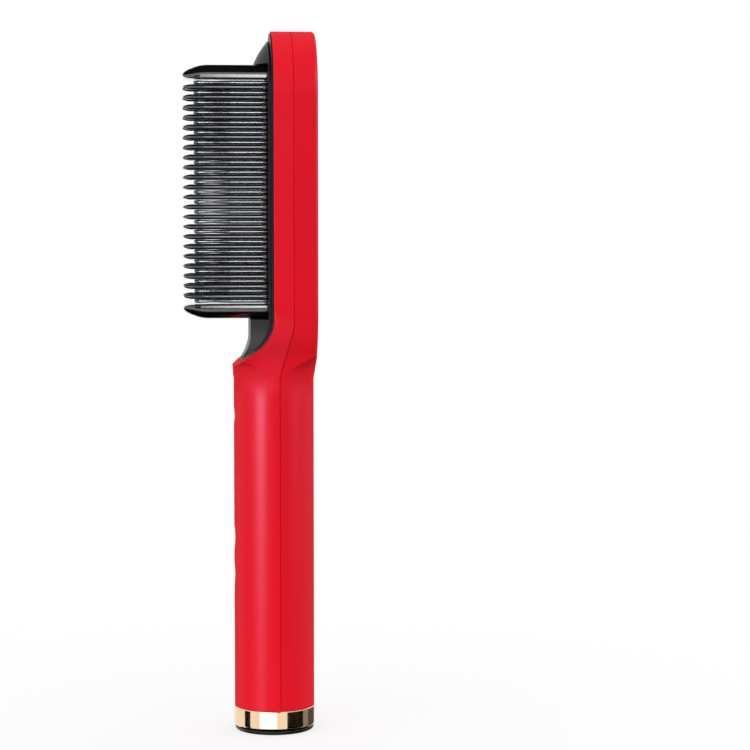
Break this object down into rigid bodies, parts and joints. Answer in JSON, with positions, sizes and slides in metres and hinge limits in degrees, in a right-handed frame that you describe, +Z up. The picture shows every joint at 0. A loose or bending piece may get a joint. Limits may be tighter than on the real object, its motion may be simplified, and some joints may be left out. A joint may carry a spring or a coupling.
{
  "type": "heated styling brush",
  "caption": "Cordless heated comb brush: red two-half shell, black guard teeth round coated heating fins, gold trim on the back, pressed buttons on the round handle.",
  "frame": {"origin": "centre of the flat bottom end, on the handle's axis", "axes": "+Z up along the handle, the comb and buttons face -Y, the trimmed back faces +Y, +X completes the right hand"},
  "size_m": [0.051, 0.0514, 0.275],
  "materials": {
    "red_shell": "satin moulded red",
    "red_panel": "satin domed red panel",
    "red_button": "satin red cap",
    "pale_button": "pale grey cap",
    "gold_trim": "polished champagne gold",
    "black_frame": "satin black",
    "black_comb": "glossy black",
    "heated_metal": "dark ceramic coating",
    "heater_ceramic": "fired heater stone",
    "mica": "pressed mica sheet",
    "heat_plastic": "heat-proof moulding",
    "steel": "plated steel",
    "sensor_glass": "sealed sensor",
    "board": "green circuit board",
    "component_black": "moulded component",
    "capacitor_can": "aluminium can",
    "plunger": "switch plunger",
    "lamp": "lamp body",
    "clear_guide": "milky clear",
    "cell_wrap": "wrapped steel can, with the density of a whole cell",
    "cradle": "grey moulding",
    "lead_cover": "soft lead cover"
  },
  "bodies": {
    "housing": {"back_panel": "red_panel", "back_shell": "red_shell", "back_trim_ring": "gold_trim", "battery_cell": "cell_wrap", "battery_cradle": "cradle", "battery_leads": "lead_cover", "battery_tabs": "steel", "board_screws": "steel", "bulk_capacitor": "capacitor_can", "carrier_screws": "steel", "charge_board": "board", "charge_lead": "lead_cover", "charge_socket": "steel", "clamp_screws": "steel", "comb_bezel": "black_frame", "control_board": "board", "controller_chip": "component_black", "end_cap": "black_frame", "end_ring": "gold_trim", "front_shell": "red_shell", "fuse_lead": "lead_cover", "guard_comb": "black_comb", "head_screws": "steel", "heated_comb": "heated_metal", "heater_carrier": "heat_plastic", "heater_clamp": "steel", "heater_element": "heater_ceramic", "heater_leads": "lead_cover", "indicator_leds": "lamp", "insulation_sheet": "mica", "light_guide": "clear_guide", "power_mosfet": "component_black", "tact_switches": "component_black", "thermal_fuse": "sensor_glass", "thermistor": "sensor_glass", "thermistor_lead": "lead_cover"},
    "power_push": {"power_button": "pale_button", "power_plunger": "plunger"},
    "plus_push": {"plus_button": "red_button", "plus_plunger": "plunger"},
    "minus_push": {"minus_button": "red_button", "minus_plunger": "plunger"}
  },
  "joints": [
    {"name": "power_press", "type": "slide", "parent": "housing", "child": "power_push", "axis": [0, 1, 0], "range_m": [0, 0.0004], "stiffness_N_per_m": 1500, "springref_m": -0.0004},
    {"name": "plus_press", "type": "slide", "parent": "housing", "child": "plus_push", "axis": [0, 1, 0], "range_m": [0, 0.0004], "stiffness_N_per_m": 1500, "springref_m": -0.0004},
    {"name": "minus_press", "type": "slide", "parent": "housing", "child": "minus_push", "axis": [0, 1, 0], "range_m": [0, 0.0004], "stiffness_N_per_m": 1500, "springref_m": -0.0004}
  ]
}
